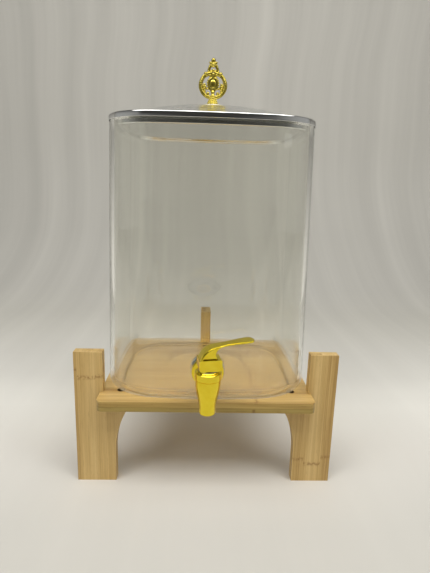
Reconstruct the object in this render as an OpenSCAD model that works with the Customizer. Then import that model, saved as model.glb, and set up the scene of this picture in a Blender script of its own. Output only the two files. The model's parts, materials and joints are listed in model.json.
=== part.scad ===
// Glass drinks dispenser: a rounded-rectangular glass jar with a domed steel lid and an ornate knob,
// a gold-plated lever tap in its front wall, standing on a shelf board carried by three slab legs.
// Millimetres, +Z up, front of the dispenser towards -Y. The origin is on the floor, at the middle
// of the outline seen from above.

/* [Stand] */
// Clearance between the jar's widest point and each side post
post_gap = 0.25; // [0.25:0.25:5]
// Width of a leg's post
post_w = 30; // [24:1:36]
// Thickness of the side legs' slabs
leg_t = 11; // [9:0.5:14]
// Thickness of the rear leg's slab
rear_leg_t = 13.5; // [9:0.5:16]
// Height of the posts above the floor
leg_h = 150; // [135:1:180]
// How far the lower part of a leg steps in under the shelf
leg_step = 12; // [8:0.5:16]
// Radius of the concave bracket under the shelf
bracket_r = 100; // [85:1:120]
// Height of that concave curve
bracket_rise = 59; // [45:1:70]
// Distance from the shelf's front edge to the side legs
leg_setback = 22.5; // [16:0.5:30]
// Height of the shelf's top above the floor
shelf_z = 106; // [95:1:130]
// Thickness of the shelf board
shelf_t = 11; // [9:0.5:14]
// How far the jar's front stands out past the shelf's front edge
jar_proud = 2.5; // [0:0.5:6]
// Clearance between the jar's back and the rear post
back_gap = 3.5; // [1:0.5:10]
// Depth of the notches that the posts sit in
notch_d = 3; // [2:0.5:5]
// Radius of the shelf's corners
shelf_corner_r = 6; // [3:0.5:9]

/* [Leg screws] */
// Diameter of the screw's shank
screw_d = 4; // [3.5:0.5:5]
// Diameter of the screw's head
screw_head_d = 8; // [7:0.5:9.5]
// Height of the screw's head
screw_head_h = 3; // [2:0.5:3.5]
// Length of the screw below its head
screw_l = 24; // [18:1:26]
// How deep the head sits below the shelf's top
screw_sink = 3; // [2:0.5:4]
// Distance from a post's inner face to its screw
screw_inset = 18.5; // [14:0.5:22]

/* [Jar] */
// Width of the jar near its foot
jar_w = 219; // [180:1:265]
// Depth of the jar near its foot
jar_d = 186; // [155:1:225]
// Height of the jar
jar_h = 278.5; // [230:0.5:335]
// Thickness of the glass wall
wall_t = 4.5; // [3.5:0.5:6]
// Thickness of the glass bottom
bottom_t = 6.5; // [5:0.5:12]
// Radius of the jar's upright corners
corner_r = 57; // [44:1:64]
// Radius of the jar's slightly bowed sides
bow_r = 500; // [400:5:800]
// How much the jar draws in towards its mouth, on each side
jar_draw = 5.7; // [0:0.1:8]
// Radius of the rounded heel round the foot
heel_r = 13; // [8:0.5:15]
// Height of the hollow under the foot
punt_h = 1.6; // [1:0.1:3]

/* [Lid] */
// Height of the lid's skirt
skirt_h = 5.6; // [4:0.1:8]
// Gap between the skirt and the glass
skirt_gap = 0.4; // [0.3:0.1:2]
// Width of the flat brim round the dome
brim_w = 9; // [7:0.5:14]
// Rise of the dome above the brim
dome_h = 19.2; // [8:0.1:24]
// Thickness of the lid's sheet metal
sheet_t = 0.8; // [0.6:0.1:1.2]
// How far the closed pan reaches down into the mouth
plug_h = 6.4; // [3:0.1:8]
// Thickness of the gasket's wall
gasket_t = 3; // [2:0.1:4]
// Thickness of the gasket's flange on the glass lip
lip_seal_t = 0.8; // [0.5:0.1:1.5]
// Gap between the gasket and the inside of the mouth
seal_gap = 0.3; // [0.2:0.05:0.6]

/* [Knob] */
// Diameter of the silver disc under the knob
disc_d = 29; // [24:1:34]
// Thickness of that disc
disc_t = 2; // [1.6:0.1:3.5]
// Width of the knob's scrollwork
knob_w = 30.4; // [28:0.2:34]
// Diameter of the scroll bars
bar_d = 3.8; // [3:0.1:4.2]
// Diameter of the knob's fluted foot
foot_d = 12; // [10:0.5:14]
// Diameter of the screw that holds the knob
knob_screw_d = 4; // [3:0.5:4]

/* [Tap] */
// Distance from the glass to the tap's upright axis
tap_reach = 22; // [20:0.5:30]
// Height of the shank's axis above the shelf
shank_up = 36; // [34:0.5:60]
// Diameter of the threaded shank
shank_d = 15; // [13:0.5:16]
// Bore of the shank
inlet_d = 7.5; // [6:0.5:8]
// Diameter of the tap's round flange
flange_d = 32; // [31:1:34]
// Thickness of that flange
flange_t = 2.6; // [2:0.1:4]
// Diameter of the collar at the top of the tap's body
collar_d = 25.8; // [24:0.2:28]
// Height of that collar
collar_h = 7; // [5:0.2:8]
// Height of the collar's top above the shank's axis
collar_up = 9; // [8.6:0.2:12]
// Diameter of the body just below the collar
body_d = 24.4; // [22:0.2:25.4]
// Diameter of the spout
spout_d = 16; // [14:0.2:17]
// Bore of the spout
spout_bore = 11.2; // [9:0.2:12]
// Height of the body from the spout's end to the collar's top
body_h = 43.2; // [38:0.2:50]

/* [Lever] */
// Length of the lever from the tap's axis to its tip
lever_l = 43.6; // [38:0.2:50]
// Width of the lever's block
lever_w = 16.4; // [14:0.2:18]
// Width of the handle at its waist
waist_w = 11.2; // [8:0.2:12]
// Width of the handle's rounded end
tip_w = 15.6; // [12:0.2:18]
// Thickness of the handle
handle_t = 2.1; // [1.8:0.1:3]
// Sideways turn of the lever at rest, in degrees
lever_turn = 10; // [0:1:15]
// Height of the lever's pin above the washer that its cam rests on
pin_up = 8; // [7:0.1:9]
// Lift of the stem for one radian of lever travel
cam_rate = 7.5; // [6:0.1:8]
// Diameter of the lever's pin
pin_d = 3; // [2.5:0.1:3.5]
// Diameter of the stem
stem_d = 5; // [4.4:0.1:5.6]

/* [Washers and nut] */
// Diameter of the washer under the tap's flange
outer_washer_d = 29; // [26:1:31]
// Diameter of the washer inside the jar
washer_d = 35; // [33:1:40]
// Thickness of those washers
washer_t = 2.6; // [2:0.1:4]
// Distance across the nut's flats
nut_flats = 25; // [22:0.5:28]
// Height of the nut
nut_h = 8; // [6:0.5:11]

/* [Fits] */
// Radial clearance of a turning or sliding metal fit
run_gap = 0.06; // [0.03:0.01:0.1]
// Clearance between pieces that only pass each other
free_gap = 0.3; // [0.2:0.05:0.5]

/* [Hidden] */

$fn = 64;
eps = 0.01;

// Colours as the photograph shows them
bamboo = "#d9b276";
glass = [0.82, 0.9, 0.9, 0.35];
silicone = "#e4e6e2";
steel = "#c9ccce";
gold = "#d6b322";
nut_grey = "#b9bfc4";

// Plan of the stand, with the shelf's front edge at y = 0
leg_gap = jar_w + 2 * post_gap;
shelf_w = leg_gap + 2 * notch_d;
jar_y = jar_d / 2 - jar_proud;
rear_face_y = jar_y + jar_d / 2 + back_gap;
shelf_d = rear_face_y + notch_d;
leg_back_y = rear_face_y + post_w;
screw_x = leg_gap / 2 - screw_inset;
screw_y = leg_setback + leg_t / 2;
screw_rear_y = rear_face_y - screw_inset;
screw_top_z = shelf_z - screw_sink;

// Levels of the jar and of the lid on it
jar_top_z = shelf_z + jar_h;
brim_z = jar_top_z + lip_seal_t + sheet_t;

// The dome ends in a small flat under the knob, at this part of its half width
dome_flat = 0.18;
dome_z = brim_z + dome_rise(dome_flat);

// The tap's place on the front wall
shank_z = shelf_z + shank_up;
wall_y = jar_y - jar_d / 2 + draw_at(shank_z);
inner_y = wall_y + wall_t;
tap_y = wall_y - tap_reach;
flange_y = wall_y - washer_t;
nut_y = inner_y + washer_t;
shank_end_y = nut_y + nut_h + 3;

// Levels of the tap
collar_z = shank_z + collar_up;
seam_z = collar_z - collar_h;
spout_z = collar_z - body_h;
seat_z = spout_z + 22;
chamber_d = 18;
bonnet_plug_h = 2;
bonnet_cap_h = 1.2;
cup_flange_t = 1.2;
cup_top_z = collar_z - bonnet_plug_h;
button_t = 1.8;
button_z = seat_z + 1.8;
washer_z = collar_z + bonnet_cap_h;
cam_washer_t = 0.8;
cam_z = washer_z + cam_washer_t;
pin_z = cam_z + pin_up;
cam_gap = 0.1;
stem_edge = 0.6;

// The pin sits in a bore that is closed at the lever's front, where this much metal is left
pin_wall = 1.6;
pin_front = lever_w / 2 - pin_wall;

// Side view of the lever, from its pin: u runs to the tip and w up. The block reaches from block_u0
// to block_u1 and up to block_w1; the handle bends round bend_c and then rises in a long flat arc.
block_u0 = -9.9;
block_u1 = 11.7;
block_w1 = 3.2;
toe_turn = 27;
bend_r = 16.5;
bend_c = [8, -1.9];
bend_end = 101;
rise_end = 94;
rise_r = (lever_l - bend_c.x - bend_r * cos(bend_end)) / (cos(rise_end) - cos(bend_end));
rise_c = bend_c + (bend_r - rise_r) * [cos(bend_end), sin(bend_end)];
tip_l = 4.8;

// Places of the handle's sections, as parts of the rise: close together at the rounded tip
tip_steps = [0.15, 0.3, 0.5, 0.65, 0.78, 0.86, 0.92, 0.96, 0.985, 1];

// The frame's origin is midway between the tap's front and the rear post's back
frame_y = -(tap_y - collar_d / 2 + leg_back_y) / 2;

// The knob is drawn in the XZ plane, on a foot that stands foot_rise lower; the ring's two halves
// are apart
foot_rise = 1.4;
scroll_z = 18.9;
scroll_in = 1.3;
scroll_r = knob_w / 2 - bar_d / 2 - scroll_in;

// Outline steps of the jar: per bowed side and per corner
side_n = 6;
corner_n = 10;

// Points of an arc round a centre
function arc_points(c, r, a0, a1, n) =
    [for (i = [0 : n]) c + r * [cos(a0 + (a1 - a0) * i / n), sin(a0 + (a1 - a0) * i / n)]];

// Inset of the jar's outer face at height z
function draw_at(z) = jar_draw * (z - shelf_z) / jar_h;

// Rounded rectangle with bowed sides, inset from the jar's widest outline
function jar_outline(inset) =
    let (a = jar_w / 2 - inset, b = jar_d / 2 - inset)
    let (big = bow_r - inset, small = corner_r - inset)
    let (half = acos((big - a) / ((big - small) * sqrt(2))) - 45)
    let (c = (big - small) * sin(half))
    let (side = arc_points([a - big, 0], big, -half, half, side_n))
    let (turn = arc_points([c, c], small, half, 90 - half, corner_n))
    let (quarter = concat([for (i = [1 : side_n]) side[i]], [for (i = [1 : corner_n]) turn[i]]))
    [for (k = [0 : 3]) for (p = quarter)
        let (q = [p.x * cos(90 * k) - p.y * sin(90 * k), p.x * sin(90 * k) + p.y * cos(90 * k)])
        [q.x, q.y * b / a]];

// One ring of a loft: outline inset, height, and a scale towards the jar's axis
function ring(inset, z, s = 1) = [for (p = jar_outline(inset)) [p.x * s, p.y * s + jar_y, z]];

// Rings that follow a quarter or half circle in the wall's section
function fillet_rings(inset, z, r, a0, a1, n) =
    [for (p = arc_points([inset, z], r, a0, a1, n)) ring(p.x, p.y)];

// Triangles between ring k and the next one, for rings of n points
function band(k, next, n) = [for (i = [0 : n - 1])
    let (j = (i + 1) % n)
    each [[k * n + i, next * n + i, k * n + j], [k * n + j, next * n + i, next * n + j]]];

// Solid through a list of rings, capped at both ends
module loft(rings) {
    n = len(rings[0]);
    m = len(rings);
    points = [for (r = rings) each r];
    sides = [for (k = [0 : m - 2]) each band(k, k + 1, n)];
    caps = [[for (i = [0 : n - 1]) i], [for (i = [n - 1 : -1 : 0]) (m - 1) * n + i]];
    polyhedron(points, concat(sides, caps));
}

// Solid swept round the outline through a closed loop of rings
module loop_loft(rings) {
    n = len(rings[0]);
    m = len(rings);
    points = [for (r = rings) each r];
    polyhedron(points, [for (k = [0 : m - 1]) each band(k, (k + 1) % m, n)]);
}

// Puts what is drawn from the shelf's front edge into the frame
module in_frame() {
    translate([0, frame_y, 0]) children();
}

// Puts what is drawn round the tap's upright axis into the frame
module at_tap() {
    in_frame() translate([0, tap_y, 0]) children();
}

// Cylinder along Y from y0 to y1, on the shank's axis
module shank_rod(d, y0, y1) {
    translate([0, y0, shank_z]) rotate([-90, 0, 0]) cylinder(d = d, h = y1 - y0);
}

// Turns a profile of [radius, z] points round the Z axis
module turned(profile) {
    rotate_extrude() polygon(profile);
}

// Rounded rectangle from circles and squares
module rounded_rect(x0, x1, y0, y1, r) {
    translate([x0 + r, y0]) square([x1 - x0 - 2 * r, y1 - y0]);
    translate([x0, y0 + r]) square([x1 - x0, y1 - y0 - 2 * r]);
    for (x = [x0 + r, x1 - r], y = [y0 + r, y1 - r])
        translate([x, y]) circle(r);
}

// Outline of a leg in its own plane: u = 0 is the post's inner face, +u points outwards
module leg_outline() {
    bracket_z = shelf_z - shelf_t;
    curve_z = bracket_z - bracket_rise;
    sweep = asin(bracket_rise / bracket_r);
    curve = arc_points([-leg_step - bracket_r, curve_z], bracket_r, sweep, 0, 14);
    polygon(concat([[0, bracket_z]], curve, [[-leg_step, 0], [post_w, 0], [post_w, leg_h], [0, leg_h]]));
}

// Slab leg of thickness t with the screw's hole in its bracket
module leg(t) {
    difference() {
        translate([0, t / 2, 0]) rotate([90, 0, 0]) linear_extrude(t) leg_outline();
        translate([-screw_inset, 0, screw_top_z - screw_head_h - screw_l]) cylinder(d = screw_d, h = leg_h);
    }
}

module leg_right() {
    color(bamboo) in_frame() translate([leg_gap / 2, screw_y, 0]) leg(leg_t);
}

module leg_left() {
    color(bamboo) in_frame() mirror([1, 0, 0]) translate([leg_gap / 2, screw_y, 0]) leg(leg_t);
}

module leg_rear() {
    color(bamboo) in_frame() translate([0, rear_face_y, 0]) rotate([0, 0, 90]) leg(rear_leg_t);
}

// Places of the three screws, seen from above
screw_places = [[-screw_x, screw_y], [screw_x, screw_y], [0, screw_rear_y]];

module shelf_board() {
    color(bamboo) in_frame() difference() {
        translate([0, 0, shelf_z - shelf_t]) linear_extrude(shelf_t) difference() {
            rounded_rect(-shelf_w / 2, shelf_w / 2, 0, shelf_d, shelf_corner_r);
            for (side = [-1, 1])
                translate([side * (leg_gap + post_w) / 2, screw_y])
                    square([post_w, leg_t + 2 * free_gap], center = true);
            translate([0, rear_face_y + post_w / 2])
                square([rear_leg_t + 2 * free_gap, post_w], center = true);
        }
        for (p = screw_places) translate([p.x, p.y, 0]) {
            translate([0, 0, screw_top_z - screw_head_h]) cylinder(d = screw_head_d + 2 * free_gap, h = shelf_t);
            cylinder(d = screw_d + 2 * free_gap, h = shelf_z);
        }
    }
}

// Pan-head wood screw with a cross recess, its head's top at z = 0
module leg_screw() {
    edge = 0.8;
    slot = 1;
    difference() {
        turned([[0, 0], [screw_head_d / 2 - 2 * edge, 0], [screw_head_d / 2, -2 * edge],
            [screw_head_d / 2, -screw_head_h], [screw_d / 2, -screw_head_h],
            [screw_d / 2, -screw_head_h - screw_l + screw_d], [0, -screw_head_h - screw_l]]);
        for (a = [0, 90]) rotate([0, 0, a])
            translate([-screw_d / 2, -slot / 2, -slot]) cube([screw_d, slot, 2 * slot]);
    }
}

module leg_screws() {
    color(steel) in_frame() for (p = screw_places) translate([p.x, p.y, screw_top_z]) leg_screw();
}

// Glass wall and bottom without the tap's hole
module jar_shell() {
    foot_in = heel_r + 3;
    inner_r = heel_r - wall_t + 1;
    lip = wall_t / 2;
    floor_z = shelf_z + bottom_t;
    heel = fillet_rings(heel_r, shelf_z + heel_r, heel_r, 270, 180, 5);
    mouth = fillet_rings(jar_draw + lip, jar_top_z - lip, lip, 180, 0, 6);
    inner_heel = fillet_rings(wall_t + inner_r, floor_z + inner_r, inner_r, 180, 270, 5);
    loft(concat(
        [ring(corner_r - 4, shelf_z + punt_h), ring(1.6 * foot_in, shelf_z + punt_h), ring(foot_in, shelf_z)],
        heel, mouth, inner_heel));
}

module glass_jar() {
    color(glass) in_frame() difference() {
        jar_shell();
        shank_rod(shank_d + 2 * free_gap, wall_y - wall_t, inner_y + wall_t);
    }
}

// Soft washers take the shape of the wall that they are pressed on
module outer_washer() {
    color(silicone) in_frame() difference() {
        shank_rod(outer_washer_d, flange_y, wall_y + wall_t / 2);
        shank_rod(shank_d, flange_y - 1, inner_y);
        jar_shell();
    }
}

module inner_washer() {
    color(silicone) in_frame() difference() {
        shank_rod(washer_d, wall_y + wall_t / 2, nut_y);
        shank_rod(shank_d, wall_y, nut_y + 1);
        jar_shell();
    }
}

module tap_nut() {
    flange_h = 2;
    color(nut_grey) in_frame() difference() {
        union() {
            shank_rod(nut_flats * 1.24, nut_y, nut_y + flange_h);
            translate([0, nut_y, shank_z]) rotate([-90, 0, 0])
                cylinder(d = nut_flats / cos(30), h = nut_h, $fn = 6);
        }
        shank_rod(shank_d, nut_y - 1, nut_y + nut_h + 1);
    }
}

// Radius of the tap's body at height z: a smooth swell from the spout to the collar
function body_r(z) =
    let (low = spout_z + 5, high = seam_z - 4)
    let (t = max(0, min(1, (z - low) / (high - low))))
    (spout_d + (body_d - spout_d) * t * t * (3 - 2 * t)) / 2;

module tap_body() {
    edge = 1.2;
    groove = 0.7;
    swell_z = spout_z + 4;
    swell = [for (i = [0 : 14]) let (z = swell_z + i * (seam_z - groove - swell_z) / 14) [body_r(z), z]];
    color(gold) difference() {
        union() {
            at_tap() turned(concat(
                [[0, spout_z], [spout_d / 2 - edge, spout_z], [spout_d / 2 - edge / 4, spout_z + edge / 2],
                    [spout_d / 2, spout_z + edge]],
                swell,
                [[body_d / 2 - groove, seam_z - groove], [body_d / 2 - groove, seam_z], [collar_d / 2, seam_z],
                    [collar_d / 2, collar_z - edge / 2], [collar_d / 2 - edge / 2, collar_z], [0, collar_z]]));
            in_frame() {
                shank_rod(shank_d + 1, tap_y, flange_y - eps);
                shank_rod(shank_d, flange_y - flange_t, shank_end_y);
                translate([0, flange_y - flange_t, shank_z]) rotate([-90, 0, 0])
                    turned([[0, 0], [flange_d / 2 - edge, 0], [flange_d / 2 - edge / 4, edge / 2],
                        [flange_d / 2, edge], [flange_d / 2, flange_t], [0, flange_t]]);
            }
        }
        at_tap() {
            translate([0, 0, spout_z - 1]) cylinder(d = spout_bore, h = seat_z - spout_z + 2);
            translate([0, 0, seat_z]) cylinder(d = chamber_d, h = body_h);
        }
        in_frame() shank_rod(inlet_d, tap_y, shank_end_y + 1);
    }
}

// Bonnet that closes the chamber and guides the stem
module tap_bonnet() {
    cap_r = collar_d / 2 - 1.8;
    plug_r = chamber_d / 2 - 2 * run_gap;
    edge = 0.6;
    color(gold) at_tap() difference() {
        turned([[0, collar_z - bonnet_plug_h], [plug_r, collar_z - bonnet_plug_h],
            [plug_r, collar_z], [cap_r, collar_z], [cap_r, washer_z - edge],
            [cap_r - edge, washer_z], [0, washer_z]]);
        translate([0, 0, seat_z]) cylinder(d = stem_d + 2 * run_gap, h = body_h);
    }
}

// Silicone cup: its flange is held under the bonnet, its plug closes the throat
module seat_cup() {
    wall = 1.1;
    plug_r = spout_bore / 2 + 1.2;
    plug_z = button_z + button_t + 1.4;
    mouth_r = plug_r - wall + 0.6;
    color(silicone) at_tap() difference() {
        turned([[0, seat_z], [plug_r - 0.8, seat_z], [plug_r, seat_z + 0.8], [plug_r, plug_z],
            [mouth_r + wall, cup_top_z - cup_flange_t], [chamber_d / 2 - 0.2, cup_top_z - cup_flange_t],
            [chamber_d / 2 - 0.2, cup_top_z], [mouth_r, cup_top_z], [plug_r - wall, plug_z], [0, plug_z]]);
        translate([0, 0, button_z]) cylinder(d = stem_d, h = cup_top_z);
        translate([0, 0, button_z]) cylinder(d = stem_d + 3, h = button_t);
    }
}

module tap_stem() {
    color(steel) at_tap() difference() {
        union() {
            translate([0, 0, button_z]) cylinder(d = stem_d, h = pin_z + stem_d / 2 - button_z - stem_edge);
            translate([0, 0, button_z]) cylinder(d = stem_d + 3, h = button_t);
            translate([0, 0, pin_z + stem_d / 2 - stem_edge])
                cylinder(d1 = stem_d, d2 = stem_d - 2 * stem_edge, h = stem_edge);
        }
        translate([0, 0, pin_z]) rotate([90, 0, lever_turn]) cylinder(d = pin_d, h = lever_w, center = true);
    }
}

module lever_pin() {
    color(steel) at_tap() translate([0, 0, pin_z]) rotate([-90, 0, lever_turn])
        translate([0, 0, free_gap - pin_front]) cylinder(d = pin_d, h = lever_w - pin_wall - 2 * free_gap);
}

module cam_washer() {
    color(steel) at_tap() difference() {
        translate([0, 0, washer_z]) cylinder(d = collar_d - 6.6, h = cam_washer_t);
        translate([0, 0, seat_z]) cylinder(d = stem_d + 2 * run_gap, h = body_h);
    }
}

// Half of the handle's width at distance u
function handle_half(u) = lookup(u, [[-3, lever_w / 2], [5, (lever_w + waist_w - 2) / 4 + 1], [14, waist_w / 2],
    [20, waist_w / 2], [27, waist_w / 2 + 1], [lever_l - 9.6, tip_w / 2]]);

// One section of the handle: centre, direction angle of its normal, half width, half thickness
function handle_section(c, a, half, t) = [for (k = [0 : 19])
    let (s = 18 * k)
    let (y = half * sign(cos(s)) * pow(abs(cos(s)), 0.5), d = t * sign(sin(s)) * pow(abs(sin(s)), 0.65))
    [c.x + d * cos(a), y, c.y + d * sin(a)]];

// Narrowing of the handle at distance u, as a quarter ellipse over the tip's length
function tip_taper(u) =
    let (back = max(0, (u - lever_l + tip_l) / tip_l))
    sqrt(max(0.02, 1 - back * back));

// Strip handle: out of the block, up round the bend, then out to the tip
module handle() {
    half_t = handle_t / 2;
    start_t = half_t + 0.3;
    start = [for (p = [[-6.9, 1.2, 0.8], [-6.5, 0.4, 1], [-5.3, 0, start_t]])
        handle_section([bend_c.x - bend_r, p.x], 180, lever_w / 2 - p.y, p.z)];
    bend = [for (i = [0 : 8]) let (a = 180 - (180 - bend_end) * i / 8)
        let (c = bend_c + bend_r * [cos(a), sin(a)])
        handle_section(c, a, handle_half(c.x), start_t + (half_t - start_t) * i / 8)];
    rise = [for (f = tip_steps) let (a = bend_end + (rise_end - bend_end) * f)
        let (c = rise_c + rise_r * [cos(a), sin(a)])
        handle_section(c, a, handle_half(c.x) * tip_taper(c.x), half_t * max(0.4, tip_taper(c.x)))];
    loft(concat(start, bend, rise));
}

// Side view of the block: flat foot, then an involute toe that lifts the pin at a steady rate
module block_outline() {
    h = pin_up - cam_gap;
    toe = [for (a = [0 : 3 : toe_turn])
        let (reach = h + cam_rate * a * PI / 180)
        [reach * sin(a) + cam_rate * cos(a), cam_rate * sin(a) - reach * cos(a)]];
    heel = arc_points([block_u0 + 3, 3 - h], 3, 180, 270, 6);
    top = arc_points([block_u1 - 1, block_w1 - 1], 1, 0, 90, 4);
    polygon(concat(heel, toe, top, [[block_u0, block_w1]]));
}

// Side view of the web between the block and the handle, hollowed on the side of the tip
module web_outline() {
    hollow = arc_points([12, 8], 6.2, 227, 115, 8);
    under = rise_c + rise_r * [cos(bend_end - 1), sin(bend_end - 1)];
    polygon(concat([[0, -2], [block_u1 - 4, 0]], hollow, [under], arc_points(bend_c, bend_r, bend_end, 180, 8)));
}

module lever_extrude(w) {
    translate([0, w / 2, 0]) rotate([90, 0, 0]) linear_extrude(w) children();
}

module tap_lever() {
    slot = stem_d + 2 * free_gap;
    slot_u0 = -slot / 2 - 0.9;
    slot_u1 = slot / 2 + 4.4;
    color(gold) at_tap() translate([0, 0, pin_z]) rotate([0, 0, lever_turn]) difference() {
        union() {
            handle();
            lever_extrude(lever_w) block_outline();
            lever_extrude(lever_w - 5) web_outline();
        }
        rotate([-90, 0, 0]) translate([0, 0, -pin_front]) cylinder(d = pin_d + 2 * run_gap, h = 2 * lever_w);
        translate([slot_u0, -slot / 2, -pin_up]) cube([slot_u1 - slot_u0, slot, pin_up + stem_d / 2 + 1]);
    }
}

// Lid: height of the dome over the brim, at scale s from the middle to the brim's inner edge
function dome_rise(s) = dome_h * (1 - s * s) * (1 - 0.25 * s * s);

module lid_shell() {
    outer = jar_draw - skirt_gap - sheet_t;
    top = brim_z;
    skirt_z = top - skirt_h;
    bend = 1.4;
    brim = jar_draw + brim_w;
    steps = [0.96, 0.88, 0.78, 0.66, 0.52, 0.36, dome_flat];
    inside = [for (i = [6 : -1 : 0]) ring(brim, top - sheet_t + dome_rise(steps[i]), steps[i])];
    outside = [for (s = steps) ring(brim, top + dome_rise(s), s)];
    color(steel) in_frame() difference() {
        loft(concat(inside,
            [ring(brim, top - sheet_t), ring(outer + bend, top - sheet_t), ring(outer + sheet_t, top - bend),
                ring(outer + sheet_t, skirt_z), ring(outer, skirt_z)],
            fillet_rings(outer + bend, top - bend, bend, 180, 90, 3),
            [ring(brim, top)],
            outside));
        translate([0, jar_y, jar_top_z]) cylinder(d = knob_screw_d + 2 * free_gap, h = 2 * dome_h);
    }
}

// Closed pan under the lid, its wall standing up to the brim
module lid_pan() {
    edge = jar_draw + wall_t + seal_gap + gasket_t;
    top = brim_z - sheet_t;
    low = jar_top_z - plug_h;
    r = 1.6;
    color(steel) in_frame() loft(concat(
        [ring(edge + sheet_t, low + sheet_t), ring(edge + sheet_t, top), ring(edge, top)],
        fillet_rings(edge + r, low + r, r, 180, 270, 3)));
}

// Gasket: a flange on the glass lip and a wall that fills the gap inside the mouth
module lid_gasket() {
    inner = jar_draw + wall_t + seal_gap + gasket_t;
    outer = jar_draw + wall_t + seal_gap;
    low = jar_top_z - plug_h + 1.2;
    color(silicone) in_frame() loop_loft([
        ring(inner, low), ring(inner, brim_z - sheet_t), ring(jar_draw + 0.4, brim_z - sheet_t),
        ring(jar_draw + 0.4, jar_top_z + 0.01), ring(outer, jar_top_z + 0.01), ring(outer, low + 0.5),
        ring(outer + 0.6, low)]);
}

module knob_disc() {
    r = disc_d / 2;
    color(steel) in_frame() translate([0, jar_y, dome_z]) difference() {
        turned([[0, 0], [r - 2, 0], [r - 0.5, 0.3 * disc_t], [r, 0.5 * disc_t], [r - 0.6, 0.72 * disc_t],
            [r - 2.2, 0.89 * disc_t], [r - 5, 0.98 * disc_t], [r - 7, disc_t], [0, disc_t]]);
        translate([0, 0, -1]) cylinder(d = knob_screw_d + 2 * free_gap, h = disc_t + 2);
    }
}

module knob_washer() {
    color(steel) in_frame() translate([0, jar_y, dome_z - sheet_t - 1]) difference() {
        cylinder(d = 3 * knob_screw_d, h = 1);
        translate([0, 0, -1]) cylinder(d = knob_screw_d, h = 3);
    }
}

module knob_screw() {
    head_z = dome_z - sheet_t - 1;
    color(steel) in_frame() translate([0, jar_y, head_z]) union() {
        translate([0, 0, -2.6]) cylinder(d = 1.8 * knob_screw_d, h = 2.6);
        cylinder(d = knob_screw_d, h = sheet_t + 1 + disc_t + 7);
    }
}

// Part of a ring bar round a centre, from angle a0 to a1
module bar_arc(c, r, d, a0, a1) {
    translate([c.x, 0, c.y]) rotate([90, 0, 0]) rotate_extrude(angle = a1 - a0, start = a0)
        translate([r, 0]) circle(d = d);
}

module bead(x, z, d) {
    translate([x, 0, z]) sphere(d = d);
}

module knob_side() {
    c = [scroll_in, scroll_z];
    bar_arc(c, scroll_r, bar_d, -82, 88);
    bar_arc([scroll_in + scroll_r - 3.4, scroll_z - 2.2], 2, 2.3, 60, 330);
    bar_arc([-3.2, 32.6], 8, 3, -18, 54);
    bead(scroll_in + scroll_r * cos(60), scroll_z + scroll_r * sin(60), 4.4);
    bead(scroll_in + scroll_r * cos(60) - 3.2, scroll_z + scroll_r * sin(60) + 1.6, 3.6);
    bead(scroll_in + scroll_r - 3.4, scroll_z - 2.2, 2.4);
    bead(scroll_in + scroll_r - 4.2, scroll_z + 0.6, 3);
    bead(9.4, 11.2, 3.6);
    bead(5.6, 9.9, 3.8);
    bead(2.3, 32.9, 2.8);
    bead(3.5, 38.1, 2.8);
    bead(2.3, 40.5, 3.4);
}

module rosette() {
    r = 6.1;
    up = 1.1;
    beads = 18;
    translate([0, 0, scroll_z + 1.6]) {
        difference() {
            rotate([90, 0, 0]) linear_extrude(3, center = true) {
                for (s = [-1, 1]) translate([0, s * up]) circle(r - 0.6);
                square([2 * r - 1.2, 2 * up], center = true);
            }
            for (s = [-1, 1]) translate([0, s * 2.2, 0]) rotate([90, 0, 0])
                linear_extrude(2.4, center = true) {
                    for (t = [-1, 1]) translate([0, t * up]) circle(r - 2.4);
                    square([2 * r - 4.8, 2 * up], center = true);
                }
        }
        for (k = [0 : beads - 1]) let (a = 360 * (k + 0.5) / beads)
            bead((r - 0.2) * cos(a), (r + up - 0.2) * sin(a), 2.1);
    }
}

// Fluted foot on the disc
module knob_foot() {
    flutes = 8;
    neck_z = 8.4;
    h = 11.8;
    turned([[0, 0], [foot_d / 2, 0], [foot_d / 2, 0.6], [foot_d / 2 - 1, 1.6], [foot_d / 2 - 2.2, 4.6],
        [2.6, neck_z], [1.9, h], [0, h]]);
    for (k = [0 : flutes - 1]) rotate([0, 0, 360 * k / flutes]) translate([foot_d / 2 - 1.4, 0, 0.9])
        rotate([0, -21, 0]) cylinder(d1 = 1.9, d2 = 0.9, h = 10);
}

module knob_finial() {
    color(gold) in_frame() translate([0, jar_y, dome_z + disc_t]) difference() {
        union() {
            knob_foot();
            translate([0, 0, foot_rise]) {
                knob_side();
                mirror([1, 0, 0]) knob_side();
                rosette();
                bead(0, 12.2, 4.4);
                bead(0, 28.4, 4.2);
                translate([0, 0, 39.2]) cylinder(d1 = 4.4, d2 = 5.6, h = 1.2);
                translate([0, 0, 40.4]) cylinder(d1 = 5.6, d2 = 3.4, h = 1.3);
                bead(0, 43.4, 4.8);
            }
        }
        translate([0, 0, -1]) cylinder(d = knob_screw_d, h = 8);
    }
}

shelf_board();
leg_left();
leg_right();
leg_rear();
leg_screws();
glass_jar();
outer_washer();
inner_washer();
tap_nut();
tap_body();
tap_bonnet();
seat_cup();
cam_washer();
tap_stem();
lever_pin();
tap_lever();
lid_shell();
lid_pan();
lid_gasket();
knob_disc();
knob_finial();
knob_screw();
knob_washer();
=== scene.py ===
"""Looks of the glass drinks dispenser: materials, fine meshes, stage, lights and camera."""
import json
import math

import bmesh
import bpy
from mathutils import Matrix, Vector


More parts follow.
